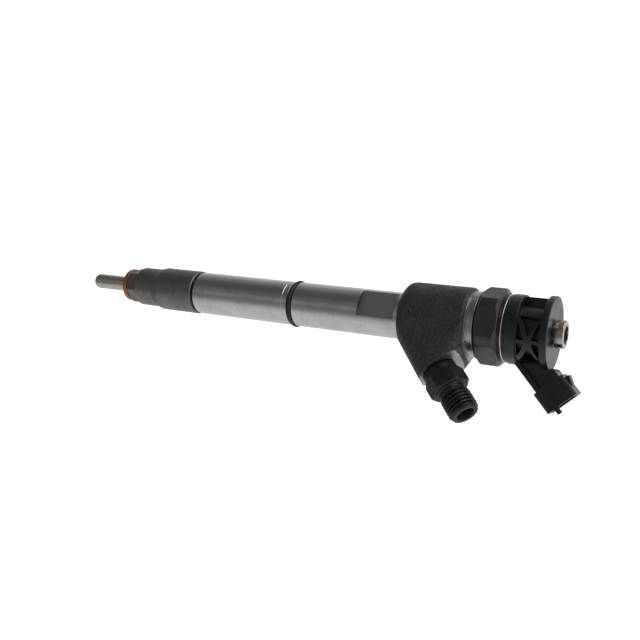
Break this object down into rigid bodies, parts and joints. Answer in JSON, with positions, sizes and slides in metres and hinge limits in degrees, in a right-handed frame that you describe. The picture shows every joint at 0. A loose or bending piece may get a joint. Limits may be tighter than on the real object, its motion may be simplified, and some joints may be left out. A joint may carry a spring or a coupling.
{
  "type": "fuel injector",
  "caption": "Slim common-rail diesel injector with a long ground shaft, forged head, slanted threaded inlet, solenoid nut and plastic cap with a side connector.",
  "frame": {"origin": "on the injector's axis, in the copper washer's lower face, which seats in the cylinder head", "axes": "+Z along the injector from the nozzle to the return end, +X towards the side of the high-pressure inlet, so the clamp flats face +Y and -Y"},
  "size_m": [0.0555, 0.0327, 0.2361],
  "materials": {
    "ground_steel": "ground and bright, slightly scored along the shaft",
    "nozzle_steel": "ground hard steel, tinted by heat treatment",
    "phosphated_steel": "dark zinc phosphate, satin",
    "forged_steel": "shot-blasted forging, phosphated dark brown grey, matt",
    "black_oxide_steel": "black oxide, satin",
    "spring_steel": "drawn wire",
    "copper": "soft copper, lightly tarnished",
    "tinned_brass": "tin plated, bright",
    "seal_rubber": "smooth moulded rubber",
    "cap_plastic": "glass-filled nylon, dark blue-black, finely grained",
    "bobbin_plastic": "brown moulded plastic"
  },
  "bodies": {
    "root": {"sealing_washer": "copper", "nozzle_body": "nozzle_steel", "locating_dowel_1": "spring_steel", "locating_dowel_2": "spring_steel", "nozzle_retaining_nut": "phosphated_steel", "needle_spring": "spring_steel", "needle_spring_shim": "spring_steel", "injector_body": "forged_steel", "shaft_o_ring": "seal_rubber", "valve_seal_ring": "copper", "valve_body": "ground_steel", "valve_clamp_screw": "phosphated_steel", "armature_guide": "ground_steel", "lift_shim": "spring_steel", "magnet_core": "phosphated_steel", "coil_bobbin": "bobbin_plastic", "coil_winding": "copper", "coil_lead_1": "tinned_brass", "coil_lead_2": "tinned_brass", "solenoid_spring": "spring_steel", "spring_adjusting_shim": "spring_steel", "magnet_o_ring": "seal_rubber", "magnet_sleeve": "ground_steel", "solenoid_nut": "phosphated_steel", "backing_ring": "tinned_brass", "connector_cap": "cap_plastic", "terminal_1": "tinned_brass", "terminal_2": "tinned_brass", "return_nipple": "ground_steel", "inlet_seal_ring": "copper", "inlet_connector": "black_oxide_steel", "inlet_filter": "ground_steel"},
    "needle": {"nozzle_needle": "nozzle_steel", "needle_spring_seat": "spring_steel"},
    "piston": {"control_piston": "ground_steel"},
    "armature": {"armature_pin": "ground_steel", "armature_plate": "ground_steel", "armature_clip": "spring_steel"},
    "ball": {"valve_ball": "ground_steel", "ball_guide": "ground_steel"}
  },
  "joints": [
    {"name": "needle_lift", "type": "slide", "parent": "root", "child": "needle", "axis": [0, 0, 1], "range_m": [0, 0.00025], "stiffness_N_per_m": 30000, "springref_m": -0.001, "deforming": ["needle_spring"]},
    {"name": "piston_lift", "type": "slide", "parent": "root", "child": "piston", "axis": [0, 0, 1], "range_m": [0, 0.00025]},
    {"name": "armature_lift", "type": "slide", "parent": "root", "child": "armature", "axis": [0, 0, 1], "range_m": [0, 0.00006], "stiffness_N_per_m": 30000, "springref_m": -0.001, "deforming": ["solenoid_spring"]},
    {"name": "ball_lift", "type": "slide", "parent": "root", "child": "ball", "axis": [0, 0, 1], "range_m": [0, 0.00006]}
  ],
  "couplings": [
    {"joint": "piston_lift", "follows": "needle_lift", "ratio": 1},
    {"joint": "ball_lift", "follows": "armature_lift", "ratio": 1}
  ]
}
